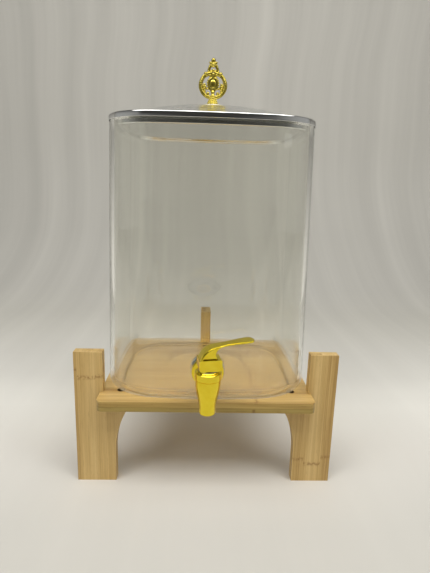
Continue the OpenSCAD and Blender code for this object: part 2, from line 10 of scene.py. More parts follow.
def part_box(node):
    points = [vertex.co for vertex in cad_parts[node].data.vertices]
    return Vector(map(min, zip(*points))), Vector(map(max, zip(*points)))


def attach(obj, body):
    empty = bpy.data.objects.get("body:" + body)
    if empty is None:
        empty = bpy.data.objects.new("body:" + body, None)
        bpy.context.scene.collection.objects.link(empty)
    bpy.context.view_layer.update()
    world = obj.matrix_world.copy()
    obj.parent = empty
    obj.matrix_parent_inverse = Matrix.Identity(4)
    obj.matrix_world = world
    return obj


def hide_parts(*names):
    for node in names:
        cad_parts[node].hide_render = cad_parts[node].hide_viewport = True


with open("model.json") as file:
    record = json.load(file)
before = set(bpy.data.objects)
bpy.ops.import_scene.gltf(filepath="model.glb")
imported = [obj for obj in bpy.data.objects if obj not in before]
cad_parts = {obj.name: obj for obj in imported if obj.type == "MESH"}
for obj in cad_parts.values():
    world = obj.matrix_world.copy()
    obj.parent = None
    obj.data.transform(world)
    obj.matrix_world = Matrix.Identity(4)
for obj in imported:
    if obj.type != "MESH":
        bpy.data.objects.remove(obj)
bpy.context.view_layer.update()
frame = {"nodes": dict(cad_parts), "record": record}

MM = 0.001
NODES = frame["nodes"]
SLOT_OF = {part["node"]: part["material_slot"] for part in frame["record"]["subparts"]}
BODIES = frame["record"]["behaviour"]["bodies"]
BODY_OF = {node: body for body, nodes in BODIES.items() for node in nodes}


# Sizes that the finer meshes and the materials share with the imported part

# Jar: wall, bottom, radii of its corners, bowed sides and heel, and how far it draws in upwards
JAR_LOW, JAR_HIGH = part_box("glass_jar")
JAR_X = (JAR_LOW.x + JAR_HIGH.x) / 2
JAR_Y = (JAR_LOW.y + JAR_HIGH.y) / 2
JAR_HALF_W = (JAR_HIGH.x - JAR_LOW.x) / 2
JAR_HALF_D = (JAR_HIGH.y - JAR_LOW.y) / 2
JAR_TOP = JAR_HIGH.z
JAR_FOOT = JAR_LOW.z
WALL = 4.5 * MM
BOTTOM = 6.5 * MM
CORNER_R = 57 * MM
BOW_R = 500 * MM
DRAW = 5.7 * MM
HEEL_R = 13 * MM
INNER_R = HEEL_R - WALL + 1 * MM

# Lid: sheet, skirt round the mouth, flat brim and dome, and the gasket that its pan carries
LID_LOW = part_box("lid_shell")[0]
SHEET = 0.8 * MM
SKIRT_GAP = 0.4 * MM
SKIRT_H = 5.6 * MM
BRIM_W = 9 * MM
DOME_H = 19.2 * MM
DOME_FLAT = 0.18
BRIM_Z = LID_LOW.z + SKIRT_H
PAN_LOW, PAN_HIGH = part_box("lid_pan")
SEAL_GAP = 0.3 * MM
GASKET_T = 3 * MM
PAN_EDGE = DRAW + WALL + SEAL_GAP + GASKET_T

# Shelf board and its screws: one to each side, which is mirrored, and one behind
BOARD_LOW, BOARD_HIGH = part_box("shelf_board")
BOARD_MIDDLE = (BOARD_LOW.z + BOARD_HIGH.z) / 2
SCREWS_LOW, SCREWS_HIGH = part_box("leg_screws")
SCREW_R = 4 * MM
SCREW_PLACES = [(SCREWS_HIGH.x - SCREW_R, SCREWS_LOW.y + SCREW_R), (0.0, SCREWS_HIGH.y - SCREW_R)]

# Hole in the jar for the tap's shank
NUT_LOW, NUT_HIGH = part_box("tap_nut")
SHANK_Z = (NUT_LOW.z + NUT_HIGH.z) / 2
HOLE_R = 7.8 * MM


# Node materials

class Graph:
    """A node tree being built: short calls that add and join its nodes."""

    def __init__(self, owner, output):
        owner.use_nodes = True
        self.tree = owner.node_tree
        self.tree.nodes.clear()
        self.out = self.tree.nodes.new("ShaderNode" + output)

    def add(self, kind, inputs=None, **settings):
        made = self.tree.nodes.new("ShaderNode" + kind)
        for key, value in settings.items():
            setattr(made, key, value)
        for key, value in (inputs or {}).items():
            self.put(made.inputs[key], value)
        return made

    def put(self, socket, value):
        if isinstance(value, bpy.types.NodeSocket):
            self.tree.links.new(value, socket)
        else:
            socket.default_value = value

    def math(self, operation, a, b=0.0, clamp=False):
        return self.add("Math", {0: a, 1: b}, operation=operation, use_clamp=clamp).outputs[0]

    def plus(self, a, b):
        return self.math("ADD", a, b)

    def minus(self, a, b, clamp=False):
        return self.math("SUBTRACT", a, b, clamp)

    def times(self, a, b):
        return self.math("MULTIPLY", a, b)

    def over(self, a, b):
        return self.math("DIVIDE", a, b)

    def swing(self, chance, reach):
        """A value from 0 to 1 as a shift to both sides of zero, reach being the whole width."""
        return self.times(self.minus(chance, 0.5), reach)

    def split(self, vector):
        return self.add("SeparateXYZ", {0: vector}).outputs

    def join(self, x=0.0, y=0.0, z=0.0):
        return self.add("CombineXYZ", {0: x, 1: y, 2: z}).outputs[0]

    def mix(self, factor, a, b, blend="MIX"):
        made = self.add("Mix", {0: factor, 6: a, 7: b}, data_type="RGBA", blend_type=blend)
        return made.outputs[2]

    def noise(self, vector, scale, detail=3.0, roughness=0.55):
        return self.add("TexNoise", {"Vector": vector, "Scale": scale, "Detail": detail,
                                     "Roughness": roughness}).outputs["Fac"]

    def ramp(self, factor, stops):
        """Colour by factor; stops are pairs of a position and a linear colour."""
        made = self.add("ValToRGB", {0: factor})
        elements = made.color_ramp.elements
        while len(elements) < len(stops):
            elements.new(0.5)
        for element, (position, colour) in zip(elements, stops):
            element.position = position
            element.color = colour
        return made.outputs[0]

    def level(self, value, low, high, to_low=0.0, to_high=1.0):
        return self.add("MapRange", {0: value, 1: low, 2: high, 3: to_low, 4: to_high}).outputs[0]

    def place(self):
        return self.add("TexCoord").outputs["Object"]

    def stretched(self, vector, scale):
        return self.add("Mapping", {"Vector": vector, "Scale": scale}).outputs[0]

    def bump(self, height, distance, strength=1.0):
        return self.add("Bump", {"Height": height, "Distance": distance,
                                 "Strength": strength}).outputs[0]

    def rays(self):
        return self.add("LightPath").outputs

    def mirrored(self):
        """1 for rays that a mirror-like surface has turned on their way, else 0."""
        return self.math("GREATER_THAN", self.rays()["Glossy Depth"], 0.5)

    def straight(self):
        """1 for rays that come straight from the lens, also through glass, else 0."""
        rays = self.rays()
        seen = self.math("MAXIMUM", rays["Is Camera Ray"], rays["Is Transmission Ray"])
        return self.minus(seen, self.mirrored(), clamp=True)

    def choose(self, factor, first, second):
        return self.add("MixShader", {0: factor, 1: first.outputs[0], 2: second.outputs[0]})

    def end(self, shader):
        self.tree.links.new(shader.outputs[0], self.out.inputs["Surface"])


class Shader(Graph):
    """A material being built."""

    def __init__(self, name):
        self.material = bpy.data.materials.new(name)
        super().__init__(self.material, "OutputMaterial")

    def surface(self, inputs):
        self.end(self.add("BsdfPrincipled", inputs))


def linear(c):
    return c / 12.92 if c <= 0.04045 else ((c + 0.055) / 1.055) ** 2.4


def rgba(colour):
    """An sRGB colour in 0 to 255, as the eye reads it, in Blender's linear values."""
    return tuple(linear(c / 255) for c in colour) + (1.0,)


def linear_stops(stops):
    return [(position, rgba(colour)) for position, colour in stops]


BAMBOO_TONES = [(0.34, (152, 116, 60)), (0.50, (188, 155, 93)), (0.66, (208, 177, 116)),
                (0.84, (224, 198, 142))]


def board_details(s, colour, xyz, band):
    """The board's edge, darker than the top and darker still in its lower layer, and painted shade
    in its screw holes and round their rims.
    """
    seam, hole_shade_reach = 0.3 * MM, 0.9 * MM
    facing = s.math("ABSOLUTE", s.split(s.add("TexCoord").outputs["Normal"])[2])
    edge = s.level(facing, 0.55, 0.25)
    depth = s.plus(xyz[2], s.swing(band, 4 * MM))
    lower = s.level(depth, BOARD_MIDDLE + seam, BOARD_MIDDLE - seam)
    # Side faces darker than the top, and their lower layer darker still
    upper_edge_tone, lower_edge_tone = (0.86, 0.88, 0.72, 1.0), (0.60, 0.62, 0.42, 1.0)
    edge_tone = s.mix(lower, upper_edge_tone, lower_edge_tone)
    colour = s.mix(edge, colour, s.mix(1.0, colour, edge_tone, "MULTIPLY"))
    flat = s.join(s.math("ABSOLUTE", xyz[0]), xyz[1])
    # Painted shade: dark brown in each screw hole and a little way round it, where shade falls
    for x, y in SCREW_PLACES:
        away = s.add("VectorMath", {0: flat, 1: (x, y, 0.0)}, operation="DISTANCE").outputs["Value"]
        colour = s.mix(s.level(away, SCREW_R + hole_shade_reach, SCREW_R + seam), colour, rgba((58, 38, 14)))
    return colour


def bamboo(name, grain, across, ply, knuckle_at=0.05):
    """Laminated bamboo: strips along the grain, fine fibres, knuckle marks and a satin lacquer.

    grain, across and ply say which of X, Y and Z (0, 1, 2) run along the fibres, across the
    strips and through the layers."""
    strip_w = 19 * MM
    ply_t = 5.5 * MM
    layer_shift = 0.37
    knuckle_gap = 0.23
    s = Shader(name)
    xyz = s.split(s.place())
    along = xyz[grain]
    side = s.plus(xyz[across], s.swing(s.noise(s.place(), 14.0, 1.0), 1.2 * MM))
    layer = s.math("FLOOR", s.over(xyz[ply], ply_t))
    strip_place = s.plus(s.over(side, strip_w), s.times(layer, layer_shift))
    strip = s.math("FLOOR", strip_place)
    chance = s.add("TexWhiteNoise", {0: s.join(strip, layer, 3.7)}, noise_dimensions="3D")
    chance = chance.outputs["Value"]

    # Fine fibres, broad bands and pores, all much longer than they are wide
    fibre_at = s.join(s.times(along, 9.0), s.times(side, 700.0), s.times(xyz[ply], 260.0))
    fibre = s.noise(fibre_at, 1.0, 5.0, 0.65)
    band_at = s.join(s.times(along, 3.0), s.times(side, 130.0), s.plus(strip, layer))
    band = s.noise(band_at, 1.0, 2.0)
    pore_at = s.join(s.times(along, 70.0), s.times(side, 2400.0), s.times(xyz[ply], 900.0))
    pore = s.level(s.noise(pore_at, 1.0, 2.0), 0.62, 0.72)

    # Knuckles: broken dark lines across a strip, staggered from strip to strip
    knuckle_place = s.plus(s.over(s.minus(along, knuckle_at), knuckle_gap), 0.5)
    knuckle_place = s.plus(knuckle_place, s.swing(chance, 0.05))
    knuckle_off = s.math("ABSOLUTE", s.minus(s.math("FRACT", knuckle_place), 0.5))
    knuckle = s.level(s.plus(knuckle_off, s.swing(band, 0.008)), 0.0, 0.014, 1.0, 0.0)
    dashes = s.noise(s.join(s.times(along, 260.0), s.times(side, 330.0)), 1.0, 2.0)
    knuckle = s.times(knuckle, s.level(dashes, 0.40, 0.58))

    joint_off = s.math("ABSOLUTE", s.minus(s.math("FRACT", strip_place), 0.5))
    joint = s.level(joint_off, 0.488, 0.499)
    tone = s.plus(s.plus(s.times(chance, 0.17), s.times(band, 0.45)), s.times(fibre, 0.50))
    colour = s.ramp(tone, linear_stops(BAMBOO_TONES))
    colour = s.mix(s.times(pore, 0.50), colour, rgba((132, 92, 48)))
    colour = s.mix(s.times(knuckle, 0.8), colour, rgba((142, 102, 50)))
    if ply == 2:
        colour = board_details(s, colour, xyz, band)
    colour = s.mix(s.times(joint, 0.40), colour, rgba((150, 112, 66)))
    relief = s.minus(fibre, s.times(s.plus(joint, knuckle), 0.5))
    s.surface({"Base Color": colour, "Roughness": s.level(fibre, 0.3, 0.7, 0.36, 0.50),
               "Coat Weight": 0.18, "Coat Roughness": 0.28, "Specular IOR Level": 0.42,
               "Normal": s.bump(relief, 0.06 * MM, 0.6)})
    return s.material


def clear_glass(name):
    """Soda-lime glass with soft unevenness from pressing.

    It casts a light shadow, and near its foot part of the light passes unbent, so that the board
    shows calmly through."""
    s = Shader(name)
    uneven = s.noise(s.stretched(s.place(), (9.0, 9.0, 5.0)), 1.0, 1.0)
    shader = s.add("BsdfPrincipled", {
        "Base Color": rgba((249, 249, 245)), "Roughness": 0.0, "IOR": 1.5,
        "Transmission Weight": 1.0, "Normal": s.bump(uneven, 0.35 * MM, 0.35)})
    faint = s.add("BsdfTransparent", {0: rgba((254, 252, 249))})
    shade = s.add("BsdfTransparent", {0: rgba((247, 247, 244))})
    heel = s.level(s.split(s.place())[2], JAR_FOOT + 6 * MM, JAR_FOOT + 24 * MM, 0.55, 0.0)
    s.end(s.choose(s.rays()["Is Shadow Ray"], s.choose(heel, shader, faint), shade))
    return s.material


def gold_plate(name):
    """Bright gold plating over a moulding, with a little orange peel and handling haze."""
    s = Shader(name)
    place = s.place()
    haze = s.noise(place, 160.0, 4.0)
    peel = s.noise(place, 420.0, 2.0)
    colour = s.mix(s.level(haze, 0.35, 0.75), rgba((252, 230, 70)), rgba((246, 216, 54)))
    rough = s.level(haze, 0.3, 0.8, 0.07, 0.20)
    s.surface({"Base Color": colour, "Metallic": 1.0, "Roughness": rough,
               "Normal": s.bump(peel, 0.02 * MM, 0.35)})
    return s.material


def polished_steel(name):
    """Mirror-polished sheet with the faint swirl that a buffing wheel leaves, satin on the dome."""
    s = Shader(name)
    place = s.place()
    swirl = s.noise(s.stretched(place, (40.0, 900.0, 400.0)), 1.0, 3.0)
    smear = s.noise(place, 22.0, 3.0)
    rough = s.plus(s.level(swirl, 0.3, 0.8, 0.05, 0.11), s.level(smear, 0.4, 0.8, 0.0, 0.06))
    satin = s.level(s.split(place)[2], BRIM_Z + 0.6 * MM, BRIM_Z + 4 * MM, 0.0, 0.17)
    colour = s.mix(smear, rgba((244, 244, 242)), rgba((236, 237, 237)))
    s.surface({"Base Color": colour, "Metallic": 1.0, "Roughness": s.plus(rough, satin),
               "Normal": s.bump(swirl, 0.004 * MM, 0.1)})
    return s.material


def screw_steel(name):
    """Plain turned steel: fine rings, dulled with handling."""
    s = Shader(name)
    place = s.place()
    turned = s.noise(s.stretched(place, (120.0, 120.0, 4000.0)), 1.0, 2.0)
    dull = s.noise(place, 300.0, 3.0)
    colour = s.mix(dull, rgba((176, 174, 168)), rgba((140, 138, 132)))
    s.surface({"Base Color": colour, "Metallic": 1.0,
               "Roughness": s.level(turned, 0.2, 0.8, 0.22, 0.42),
               "Normal": s.bump(turned, 0.02 * MM, 0.4)})
    return s.material


def painted_shade_screw(name):
    """Screw painted dark for the shade down in its hole, a little worn to bronze."""
    s = Shader(name)
    place = s.place()
    wear = s.noise(place, 500.0, 3.0)
    s.surface({"Base Color": s.mix(wear, rgba((52, 42, 30)), rgba((84, 70, 50))), "Metallic": 0.8,
               "Roughness": s.level(wear, 0.3, 0.7, 0.38, 0.55),
               "Normal": s.bump(wear, 0.02 * MM, 0.4)})
    return s.material


def satin_disc(name):
    """Pale satin metal of the disc under the knob, softly turned."""
    s = Shader(name)
    place = s.place()
    turned = s.noise(place, 700.0, 3.0)
    s.surface({"Base Color": s.mix(turned, rgba((244, 240, 226)), rgba((230, 226, 212))),
               "Metallic": 0.85, "Roughness": s.level(turned, 0.3, 0.7, 0.22, 0.36),
               "Normal": s.bump(turned, 0.01 * MM, 0.3)})
    return s.material


def knob_gold(name):
    """Gold plating over a fine casting, olive in its hollows and rubbed bright on high spots."""
    s = Shader(name)
    place = s.place()
    haze = s.noise(place, 260.0, 4.0)
    cast = s.noise(place, 900.0, 3.0)
    proud = s.level(s.add("NewGeometry").outputs["Pointiness"], 0.47, 0.55)
    colour = s.mix(proud, rgba((166, 148, 42)), rgba((232, 214, 104)))
    colour = s.mix(s.level(haze, 0.4, 0.75, 0.0, 0.5), colour, rgba((150, 132, 40)))
    s.surface({"Base Color": colour, "Metallic": 1.0,
               "Roughness": s.level(haze, 0.3, 0.8, 0.27, 0.44),
               "Normal": s.bump(cast, 0.06 * MM, 0.6)})
    return s.material


def silicone(name):
    """Clear silicone with a soft, slightly cloudy skin."""
    s = Shader(name)
    place = s.place()
    cloud = s.noise(place, 90.0, 3.0)
    colour = s.mix(cloud, rgba((246, 247, 243)), rgba((236, 239, 235)))
    s.surface({"Base Color": colour, "Roughness": s.level(cloud, 0.3, 0.7, 0.04, 0.12), "IOR": 1.41,
               "Transmission Weight": 0.96,
               "Normal": s.bump(s.noise(place, 1500.0, 2.0), 0.02 * MM, 0.3)})
    return s.material


def nut_plastic(name):
    """Grey translucent moulding."""
    s = Shader(name)
    place = s.place()
    flow = s.noise(s.stretched(place, (60.0, 300.0, 60.0)), 1.0, 3.0)
    colour = s.mix(flow, rgba((186, 194, 200)), rgba((160, 170, 178)))
    s.surface({"Base Color": colour, "Roughness": s.level(flow, 0.3, 0.7, 0.22, 0.34), "IOR": 1.49,
               "Transmission Weight": 0.6, "Normal": s.bump(flow, 0.03 * MM, 0.3)})
    return s.material


LEFT_WOOD = bamboo("bamboo_left", grain=2, across=0, ply=1, knuckle_at=126 * MM)
RIGHT_WOOD = bamboo("bamboo_right", grain=2, across=0, ply=1, knuckle_at=25 * MM)
REAR_WOOD = bamboo("bamboo_rear", grain=2, across=1, ply=0)
SHELF_WOOD = bamboo("bamboo_shelf", grain=0, across=1, ply=2)
MATERIALS = {
    "glass": clear_glass("glass"),
    "gold_plate": gold_plate("gold_plate"),
    "polished_steel": polished_steel("polished_steel"),
    "screw_steel": screw_steel("screw_steel"),
    "silicone": silicone("silicone"),
    "nut_plastic": nut_plastic("nut_plastic"),
}
# The screws get a finish painted dark for the shade in their holes
OWN_FINISH = {
    "shelf_board": SHELF_WOOD, "leg_left": LEFT_WOOD, "leg_right": RIGHT_WOOD,
    "leg_rear": REAR_WOOD, "leg_screws": painted_shade_screw("painted_shade_screw"),
    "knob_disc": satin_disc("satin_disc"), "knob_finial": knob_gold("knob_gold"),
}

# Edge radii by node, and how edges are rounded and close points joined
EDGES = {
    "shelf_board": 1.1 * MM, "leg_left": 0.9 * MM, "leg_right": 0.9 * MM, "leg_rear": 0.9 * MM,
    "tap_body": 0.15 * MM, "tap_bonnet": 0.2 * MM, "cam_washer": 0.15 * MM, "tap_lever": 0.5 * MM,
    "tap_nut": 0.5 * MM, "knob_disc": 0.15 * MM,
}
EDGE_STEPS = 3
EDGE_FROM = math.radians(42)
WELD_GAP = 0.002 * MM


def finish_node(name):
    """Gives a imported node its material, soft edges and smooth round faces."""
    obj = NODES[name]
    obj.data.materials.clear()
    obj.data.materials.append(OWN_FINISH.get(name) or MATERIALS[SLOT_OF[name]])
    weld = obj.modifiers.new("weld", "WELD")
    weld.merge_threshold = WELD_GAP
    edge = EDGES.get(name)
    if edge:
        bevel = obj.modifiers.new("edge", "BEVEL")
        bevel.width = edge
        bevel.segments = EDGE_STEPS
        bevel.limit_method = "ANGLE"
        bevel.angle_limit = EDGE_FROM
        bevel.harden_normals = False
    for polygon in obj.data.polygons:
        polygon.use_smooth = True
    keep = obj.modifiers.new("normals", "WEIGHTED_NORMAL")
    keep.keep_sharp = False
    keep.weight = 100


# Fine meshes of the jar and the lid

SHARP_FROM = math.radians(40)
# Steps along a side and round a corner of the outline, round a heel or lip, round a bend in the
# sheet, up the dome and round the hole
SIDE_STEPS = 12
CORNER_STEPS = 24
ROUND_STEPS = 10
HEM_STEPS = 6
DOME_STEPS = 20
HOLE_STEPS = 64
# Where the wall has its rings, as shares of its height
WALL_AT = (0.05, 0.25, 0.5, 0.75, 0.95)


def outline(inset):
    """The jar's bowed rounded rectangle, drawn in by inset, round its own middle."""
    a = JAR_HALF_W - inset
    b = JAR_HALF_D - inset
    big = BOW_R - inset
    small = CORNER_R - inset
    half = math.acos((big - a) / ((big - small) * math.sqrt(2))) - math.pi / 4
    c = (big - small) * math.sin(half)
    quarter = []
    for i in range(1, SIDE_STEPS + 1):
        t = -half + 2 * half * i / SIDE_STEPS
        quarter.append((a - big + big * math.cos(t), big * math.sin(t)))
    for i in range(1, CORNER_STEPS + 1):
        t = half + (math.pi / 2 - 2 * half) * i / CORNER_STEPS
        quarter.append((c + small * math.cos(t), c + small * math.sin(t)))
    points = []
    for co, si in ((1, 0), (0, 1), (-1, 0), (0, -1)):
        points += [(x * co - y * si, (x * si + y * co) * b / a) for x, y in quarter]
    return points


def ring(inset, z, scale=1.0, circle=0.0, radius=0.0):
    """One loop of points; circle blends it from the jar's outline to a circle of that radius."""
    made = []
    for x, y in outline(inset):
        length = math.hypot(x, y)
        cx, cy = x / length * radius, y / length * radius
        made.append(Vector((JAR_X + (x * (1 - circle) + cx * circle) * scale,
                            JAR_Y + (y * (1 - circle) + cy * circle) * scale, z)))
    return made


def fillet(inset, z, r, a0, a1, n):
    """Rings round a quarter or half circle of the wall's section, angles in degrees."""
    made = []
    for i in range(n + 1):
        a = math.radians(a0 + (a1 - a0) * i / n)
        made.append(ring(inset + r * math.cos(a), z + r * math.sin(a)))
    return made


def loft(name, rings, closed=False):
    """Smooth mesh through rings; if open, a point in the middle of each end ring closes it."""
    n = len(rings[0])
    points = [p for r in rings for p in r]
    faces = []
    pairs = len(rings) if closed else len(rings) - 1
    for k in range(pairs):
        a, b = k * n, (k + 1) % len(rings) * n
        for i in range(n):
            j = (i + 1) % n
            faces.append((a + i, a + j, b + j, b + i))
    if not closed:
        for k, flip in ((0, True), (len(rings) - 1, False)):
            centre = sum(rings[k], Vector()) / n
            points.append(centre)
            for i in range(n):
                face = (k * n + i, k * n + (i + 1) % n, len(points) - 1)
                faces.append(face[::-1] if flip else face)
    return mesh_object(name, points, faces)


def mesh_object(name, points, faces):
    mesh = bpy.data.meshes.new(name)
    mesh.from_pydata([tuple(p) for p in points], [], faces)
    mesh.validate()
    for polygon in mesh.polygons:
        polygon.use_smooth = True
    obj = bpy.data.objects.new(name, mesh)
    bpy.context.scene.collection.objects.link(obj)
    return obj


def stand_for(obj, node, material):
    """Finishes a new piece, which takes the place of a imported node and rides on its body."""
    obj.data.materials.append(material)
    obj.data.set_sharp_from_angle(angle=SHARP_FROM)
    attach(obj, BODY_OF[node])
    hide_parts(node)


def apply_modifiers(obj):
    """Bakes the modifiers of a new piece into its mesh."""
    graph = bpy.context.evaluated_depsgraph_get()
    mesh = bpy.data.meshes.new_from_object(obj.evaluated_get(graph))
    obj.modifiers.clear()
    obj.data = mesh


def cut_hole(obj, radius, y0, y1):
    """Bores the shank's hole through the front wall."""
    n = HOLE_STEPS
    points = []
    for y in (y0, y1):
        for i in range(n):
            a = 2 * math.pi * i / n
            points.append(Vector((radius * math.cos(a), y, SHANK_Z + radius * math.sin(a))))
    faces = [(i, (i + 1) % n, n + (i + 1) % n, n + i) for i in range(n)]
    faces += [tuple(range(n - 1, -1, -1)), tuple(range(n, 2 * n))]
    cutter = mesh_object("cutter", points, faces)
    cut = obj.modifiers.new("hole", "BOOLEAN")
    cut.object = cutter
    cut.operation = "DIFFERENCE"
    cut.solver = "EXACT"
    apply_modifiers(obj)
    bpy.data.objects.remove(cutter)


def make_jar():
    """Jar with a thick bottom, a shallow round punt under it, a rolled lip and the tap's hole."""
    foot = HEEL_R + 3 * MM
    lip = WALL / 2
    heel, mouth = JAR_FOOT + HEEL_R, JAR_TOP - lip
    floor = JAR_FOOT + BOTTOM
    inner_heel = floor + INNER_R
    punt, dome = JAR_FOOT + 0.9 * MM, JAR_FOOT + 1.3 * MM
    punt_r = 46 * MM
    draw = DRAW * (1 - (HEEL_R + lip) / (JAR_TOP - JAR_FOOT))
    rings = [ring(0, dome, 1, 1, punt_r * f) for f in (0.05, 0.3, 0.6, 0.85, 0.98)]
    rings += [ring(0, dome - 0.15 * MM, 1, 1, punt_r), ring(0, punt, 1, 1, punt_r * 1.02)]
    rings += [ring(2 * foot, punt, 1, 0.5, punt_r * 1.3), ring(1.6 * foot, punt - 0.1 * MM)]
    rings += [ring(1.25 * foot, JAR_FOOT + 0.45 * MM), ring(foot + 1 * MM, JAR_FOOT + 0.1 * MM)]
    rings += [ring(foot, JAR_FOOT)]
    rings += fillet(HEEL_R, heel, HEEL_R, 270, 180, ROUND_STEPS)
    rings += [ring(draw * f, heel + (mouth - heel) * f) for f in WALL_AT]
    rings += fillet(DRAW + lip, mouth, lip, 180, 0, ROUND_STEPS)
    rings += [ring(WALL + DRAW * f, inner_heel + (mouth - inner_heel) * f)
              for f in reversed(WALL_AT)]
    rings += fillet(WALL + INNER_R, inner_heel, INNER_R, 180, 270, ROUND_STEPS)
    rings += [ring(WALL + INNER_R, floor, f) for f in (0.9, 0.6, 0.3, 0.05)]
    jar = loft("jar_glass", rings)
    cut_hole(jar, HOLE_R, JAR_LOW.y - WALL, JAR_LOW.y + 3 * WALL)
    stand_for(jar, "glass_jar", MATERIALS["glass"])


def dome_rise(s):
    """Height of the dome over the brim, s being 1 at its foot and 0 in the middle."""
    s = max(s, DOME_FLAT)
    return DOME_H * (1 - s * s) * (1 - 0.25 * s * s)


def make_lid_shell():
    """Domed sheet: flat brim, rounded edge, hemmed skirt and a hole for the knob's screw."""
    outer = DRAW - SKIRT_GAP - SHEET
    bend = 1.4 * MM
    brim = DRAW + BRIM_W
    skirt = BRIM_Z - SKIRT_H
    hole = 2.3 * MM / (JAR_HALF_D - brim)
    steps = [1 - (1 - DOME_FLAT) * i / DOME_STEPS for i in range(1, DOME_STEPS + 1)]
    steps += [(DOME_FLAT + hole) / 2, hole]
    rings = [ring(brim, BRIM_Z - SHEET + dome_rise(s), s) for s in reversed(steps)]
    rings += [ring(brim, BRIM_Z - SHEET), ring(brim - 1 * MM, BRIM_Z - SHEET)]
    rings += fillet(outer + bend, BRIM_Z - bend, bend - SHEET, 90, 180, HEM_STEPS - 1)
    rings += fillet(outer + SHEET / 2, skirt + SHEET / 2, SHEET / 2, 360, 180, HEM_STEPS)
    rings += fillet(outer + bend, BRIM_Z - bend, bend, 180, 90, HEM_STEPS)
    rings += [ring(brim - 1 * MM, BRIM_Z), ring(brim, BRIM_Z)]
    rings += [ring(brim, BRIM_Z + dome_rise(s), s) for s in steps]
    shell = loft("lid_dome", rings, closed=True)
    stand_for(shell, "lid_shell", MATERIALS["polished_steel"])


def make_lid_pan():
    """Underside of the lid: an upright wall inside the mouth and a plate with a shallow recess."""
    wall = 2.6 * MM
    recess = 2.0 * MM
    r = 1.1 * MM
    flat = 12.0
    low, top = PAN_LOW.z - wall, PAN_HIGH.z
    # Way in from the wall's foot in mm, and the share of the recess reached there
    slope = [(3.9, 0.0), (4.1, 0.04), (4.3, 0.16), (4.53, 0.5), (4.77, 0.84), (4.95, 0.96),
             (5.2, 1.0), (flat, 1.0)]
    centre = (0.9, 0.6, 0.3, 0.03)
    foot = PAN_EDGE + r
    rings = [ring(foot + flat * MM, low + recess + SHEET, f) for f in reversed(centre)]
    rings += [ring(foot + x * MM, low + recess * h + SHEET) for x, h in reversed(slope)]
    rings += fillet(foot, low + r, r - SHEET, 270, 180, HEM_STEPS - 1)
    rings += [ring(PAN_EDGE + SHEET, top), ring(PAN_EDGE, top)]
    rings += fillet(foot, low + r, r, 180, 270, HEM_STEPS)
    rings += [ring(foot + x * MM, low + recess * h) for x, h in slope]
    rings += [ring(foot + flat * MM, low + recess, f) for f in centre]
    pan = loft("lid_underside", rings)
    stand_for(pan, "lid_pan", MATERIALS["polished_steel"])


def make_gasket():
    """Ring between the pan's wall and the mouth, with a flange on the lip and two ribs below it."""
    low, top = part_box("lid_gasket")[0].z, PAN_HIGH.z
    flange, chamfer = DRAW + 0.4 * MM, 0.2 * MM
    outer = DRAW + WALL + SEAL_GAP
    groove = outer + 0.3 * MM
    lip = JAR_TOP + 0.02 * MM
    rings = [ring(PAN_EDGE, low), ring(PAN_EDGE, top), ring(flange + chamfer, top)]
    rings += [ring(flange, top - chamfer), ring(flange, lip), ring(groove, lip)]
    rings += [ring(inset, JAR_TOP - depth * MM)
              for inset, depth in ((groove, 0.8), (outer, 1.2), (groove, 1.6), (outer, 2.2))]
    rings += [ring(outer + 0.8 * MM, low)]
    gasket = loft("lid_seal", rings, closed=True)
    stand_for(gasket, "lid_gasket", MATERIALS["silicone"])


def tube(bm, points, radii, sides=10):
    """Round bar of changing thickness through points in the knob's upright plane."""
    loops = []
    for k, (p, r) in enumerate(zip(points, radii)):
        ahead = (points[min(k + 1, len(points) - 1)] - points[max(k - 1, 0)]).normalized()
        out = ahead.cross(Vector((0, 1, 0)))
        loops.append([bm.verts.new(p + r * (math.cos(a) * out + math.sin(a) * Vector((0, 1, 0))))
                      for a in (2 * math.pi * i / sides for i in range(sides))])
    for one, two in zip(loops, loops[1:]):
        for i in range(sides):
            j = (i + 1) % sides
            bm.faces.new((one[i], one[j], two[j], two[i]))
    bm.faces.new(loops[0][::-1])
    bm.faces.new(loops[-1])


def pearl(bm, place, size):
    """Bead or cabochon, size being its half extents."""
    turn = Matrix.Translation(place) @ Matrix.Diagonal((*size, 1.0))
    bmesh.ops.create_icosphere(bm, subdivisions=3, radius=1.0, matrix=turn)


# Knob: height of its ring's centre over its foot. Beads beside its middle line, as x, height over
# that centre and radius in mm, and beads on the line itself
KNOB_RING_Z = 20.3 * MM
KNOB_PEARLS = [(8.0, 11.2, 2.1), (3.4, 10.0, 1.6), (1.8, 12.9, 1.3), (5.3, 13.6, 1.2),
               (3.4, 22.4, 1.1), (2.5, 19.9, 1.3), (9.5, -1.4, 1.5), (9.1, -3.6, 1.7),
               (8.7, -5.9, 1.4), (5.2, -8.1, 1.7), (6.0, -3.4, 1.2), (9.9, -7.6, 1.3),
               (11.6, 6.4, 1.5), (7.4, -10.2, 1.5)]
MIDDLE_PEARLS = [(0.0, 14.6, 1.6), (0.0, 19.9, 2.3), (0.0, -7.0, 1.9), (0.0, 10.6, 1.9)]
# Leaf along each side of the ring: half widths of its arc in mm, and half its angle in degrees
LEAF_ARC = (13.1, 12.6)
LEAF_TURN = 64
LEAF_STEPS = 40
# Leaves round the foot: how many, and the radius, height and half width in mm up each of them
FOOT_LEAVES = 10
FOOT_LEAF = [(5.2, 0.9, 1.0), (4.7, 2.2, 1.2), (4.0, 4.2, 1.15), (3.2, 6.6, 0.95), (2.5, 9.0, 0.7)]


